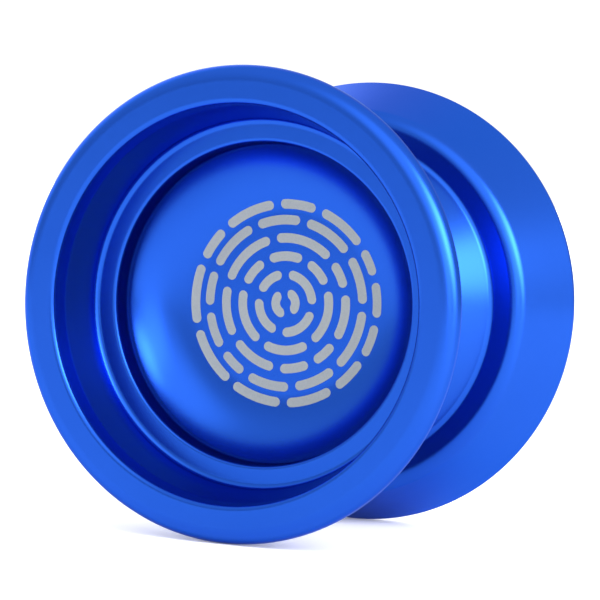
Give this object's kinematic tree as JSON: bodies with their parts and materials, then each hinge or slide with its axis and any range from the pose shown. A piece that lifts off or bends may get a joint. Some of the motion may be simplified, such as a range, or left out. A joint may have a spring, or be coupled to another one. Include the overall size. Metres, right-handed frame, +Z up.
{
  "type": "yo-yo",
  "caption": "Full-size metal yo-yo: two stepped, hollow-faced halves screwed together on an axle, with a shielded ball bearing and silicone response pads in the string gap.",
  "frame": {"origin": "centre of the bearing, midway between the two halves on the spin axis", "axes": "+Y along the spin axis, from the near half to the far half; +Z up, so that the yo-yo stands on its two rims"},
  "size_m": [0.056, 0.0428, 0.056],
  "materials": {
    "anodised_blue": "bead-blasted and anodised blue, satin",
    "bearing_steel": "ground bearing steel",
    "spring_steel": "drawn spring wire",
    "black_steel": "black oxide set screw",
    "silicone": "cast white silicone, matt"
  },
  "bodies": {
    "near_side": {"near_half": "anodised_blue", "near_response_pad": "silicone", "bearing_inner_ring": "bearing_steel"},
    "axle": {"axle": "black_steel"},
    "far_side": {"far_half": "anodised_blue", "far_response_pad": "silicone"},
    "bearing_outer": {"bearing_outer_ring": "bearing_steel", "near_shield": "bearing_steel", "far_shield": "bearing_steel", "near_snap_ring": "spring_steel", "far_snap_ring": "spring_steel"},
    "cage": {"bearing_cage": "bearing_steel"},
    "ball_01": {"bearing_ball_01": "bearing_steel"},
    "ball_02": {"bearing_ball_02": "bearing_steel"},
    "ball_03": {"bearing_ball_03": "bearing_steel"},
    "ball_04": {"bearing_ball_04": "bearing_steel"},
    "ball_05": {"bearing_ball_05": "bearing_steel"},
    "ball_06": {"bearing_ball_06": "bearing_steel"},
    "ball_07": {"bearing_ball_07": "bearing_steel"},
    "ball_08": {"bearing_ball_08": "bearing_steel"},
    "ball_09": {"bearing_ball_09": "bearing_steel"},
    "ball_10": {"bearing_ball_10": "bearing_steel"}
  },
  "joints": [
    {"name": "outer_ring_spin", "type": "hinge", "parent": "near_side", "child": "bearing_outer", "pos_m": [0, 0, 0], "axis": [0, 1, 0], "continuous": true},
    {"name": "cage_spin", "type": "hinge", "parent": "near_side", "child": "cage", "pos_m": [0, 0, 0], "axis": [0, 1, 0], "continuous": true},
    {"name": "ball_01_spin", "type": "hinge", "parent": "cage", "child": "ball_01", "pos_m": [0.00476, 0, 0], "axis": [0, 1, 0], "continuous": true},
    {"name": "ball_02_spin", "type": "hinge", "parent": "cage", "child": "ball_02", "pos_m": [0.00385, 0, -0.0028], "axis": [0, 1, 0], "continuous": true},
    {"name": "ball_03_spin", "type": "hinge", "parent": "cage", "child": "ball_03", "pos_m": [0.00147, 0, -0.00453], "axis": [0, 1, 0], "continuous": true},
    {"name": "ball_04_spin", "type": "hinge", "parent": "cage", "child": "ball_04", "pos_m": [-0.00147, 0, -0.00453], "axis": [0, 1, 0], "continuous": true},
    {"name": "ball_05_spin", "type": "hinge", "parent": "cage", "child": "ball_05", "pos_m": [-0.00385, 0, -0.0028], "axis": [0, 1, 0], "continuous": true},
    {"name": "ball_06_spin", "type": "hinge", "parent": "cage", "child": "ball_06", "pos_m": [-0.00476, 0, 0], "axis": [0, 1, 0], "continuous": true},
    {"name": "ball_07_spin", "type": "hinge", "parent": "cage", "child": "ball_07", "pos_m": [-0.00385, 0, 0.0028], "axis": [0, 1, 0], "continuous": true},
    {"name": "ball_08_spin", "type": "hinge", "parent": "cage", "child": "ball_08", "pos_m": [-0.00147, 0, 0.00453], "axis": [0, 1, 0], "continuous": true},
    {"name": "ball_09_spin", "type": "hinge", "parent": "cage", "child": "ball_09", "pos_m": [0.00147, 0, 0.00453], "axis": [0, 1, 0], "continuous": true},
    {"name": "ball_10_spin", "type": "hinge", "parent": "cage", "child": "ball_10", "pos_m": [0.00385, 0, 0.0028], "axis": [0, 1, 0], "continuous": true},
    {"name": "axle_turn", "type": "hinge", "parent": "near_side", "child": "axle", "pos_m": [0, 0, 0], "axis": [0, 1, 0], "range_deg": [0, 2304]},
    {"name": "far_side_unscrew", "type": "slide", "parent": "axle", "child": "far_side", "axis": [0, 1, 0], "range_m": [0, 0.0045]}
  ],
  "couplings": [
    {"joint": "cage_spin", "follows": "outer_ring_spin", "ratio": 0.6041},
    {"joint": "ball_01_spin", "follows": "outer_ring_spin", "ratio": 2.2963},
    {"joint": "ball_02_spin", "follows": "outer_ring_spin", "ratio": 2.2963},
    {"joint": "ball_03_spin", "follows": "outer_ring_spin", "ratio": 2.2963},
    {"joint": "ball_04_spin", "follows": "outer_ring_spin", "ratio": 2.2963},
    {"joint": "ball_05_spin", "follows": "outer_ring_spin", "ratio": 2.2963},
    {"joint": "ball_06_spin", "follows": "outer_ring_spin", "ratio": 2.2963},
    {"joint": "ball_07_spin", "follows": "outer_ring_spin", "ratio": 2.2963},
    {"joint": "ball_08_spin", "follows": "outer_ring_spin", "ratio": 2.2963},
    {"joint": "ball_09_spin", "follows": "outer_ring_spin", "ratio": 2.2963},
    {"joint": "ball_10_spin", "follows": "outer_ring_spin", "ratio": 2.2963},
    {"joint": "far_side_unscrew", "follows": "axle_turn", "m_per_rad": 0.00011141}
  ]
}
